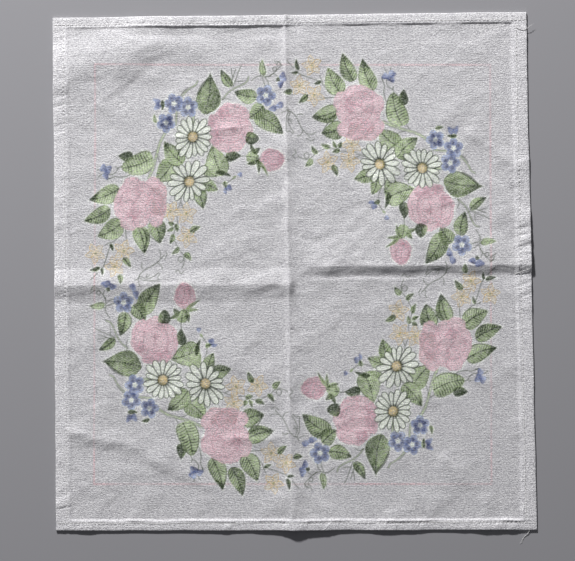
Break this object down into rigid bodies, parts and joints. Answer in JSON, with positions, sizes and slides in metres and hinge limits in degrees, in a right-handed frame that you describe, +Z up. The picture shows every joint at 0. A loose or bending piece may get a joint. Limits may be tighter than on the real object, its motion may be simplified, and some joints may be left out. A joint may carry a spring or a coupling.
{
  "type": "printed cloth napkin",
  "caption": "Square woven cotton table napkin with a four-part floral wreath print, double-turned sewn hems and pressed fold creases, spread out flat.",
  "frame": {"origin": "bottom centre of the box around the flat napkin and its loose thread ends, on the table", "axes": "+X across the cloth, +Y to the top edge of the print, +Z up out of the printed face"},
  "size_m": [0.398, 0.4408, 0.0028],
  "materials": {
    "printed_cotton": "plain-woven off-white cotton with slubs, printed on one face with roses, daisies and leaves in soft pigment colours, matte",
    "plain_cotton": "the same cotton, unprinted back, matte",
    "sewing_cotton": "white two-ply sewing thread, slightly lustrous"
  },
  "bodies": {
    "lower_middle": {"lower_middle_panel": "printed_cotton", "left_lower_middle_hem": "plain_cotton", "left_lower_middle_needle_thread": "sewing_cotton", "left_lower_middle_bobbin_thread": "sewing_cotton", "right_lower_middle_hem": "plain_cotton", "right_lower_middle_needle_thread": "sewing_cotton", "right_lower_middle_bobbin_thread": "sewing_cotton"},
    "lower_edge": {"lower_edge_panel": "printed_cotton", "left_lower_edge_hem": "plain_cotton", "left_lower_edge_needle_thread": "sewing_cotton", "left_lower_edge_bobbin_thread": "sewing_cotton", "right_lower_edge_hem": "plain_cotton", "right_lower_edge_needle_thread": "sewing_cotton", "right_lower_edge_bobbin_thread": "sewing_cotton", "bottom_hem": "plain_cotton", "bottom_needle_thread": "sewing_cotton", "bottom_bobbin_thread": "sewing_cotton", "corner_thread_tail": "sewing_cotton"},
    "upper_middle": {"upper_middle_panel": "printed_cotton", "left_upper_middle_hem": "plain_cotton", "left_upper_middle_needle_thread": "sewing_cotton", "left_upper_middle_bobbin_thread": "sewing_cotton", "right_upper_middle_hem": "plain_cotton", "right_upper_middle_needle_thread": "sewing_cotton", "right_upper_middle_bobbin_thread": "sewing_cotton", "side_thread_tail": "sewing_cotton"},
    "upper_edge": {"upper_edge_panel": "printed_cotton", "left_upper_edge_hem": "plain_cotton", "left_upper_edge_needle_thread": "sewing_cotton", "left_upper_edge_bobbin_thread": "sewing_cotton", "right_upper_edge_hem": "plain_cotton", "right_upper_edge_needle_thread": "sewing_cotton", "right_upper_edge_bobbin_thread": "sewing_cotton", "top_hem": "plain_cotton", "top_needle_thread": "sewing_cotton", "top_bobbin_thread": "sewing_cotton", "top_thread_tail": "sewing_cotton"}
  },
  "joints": [
    {"name": "bottom_fold", "type": "hinge", "parent": "lower_middle", "child": "lower_edge", "pos_m": [0, -0.1275, 0.0036], "axis": [-1, 0, 0], "range_deg": [0, 180]},
    {"name": "middle_fold", "type": "hinge", "parent": "lower_middle", "child": "upper_middle", "pos_m": [0, -0.001, 0.008], "axis": [1, 0, 0], "range_deg": [0, 180]},
    {"name": "top_fold", "type": "hinge", "parent": "upper_middle", "child": "upper_edge", "pos_m": [0, 0.1255, 0.0036], "axis": [1, 0, 0], "range_deg": [0, 180]}
  ]
}
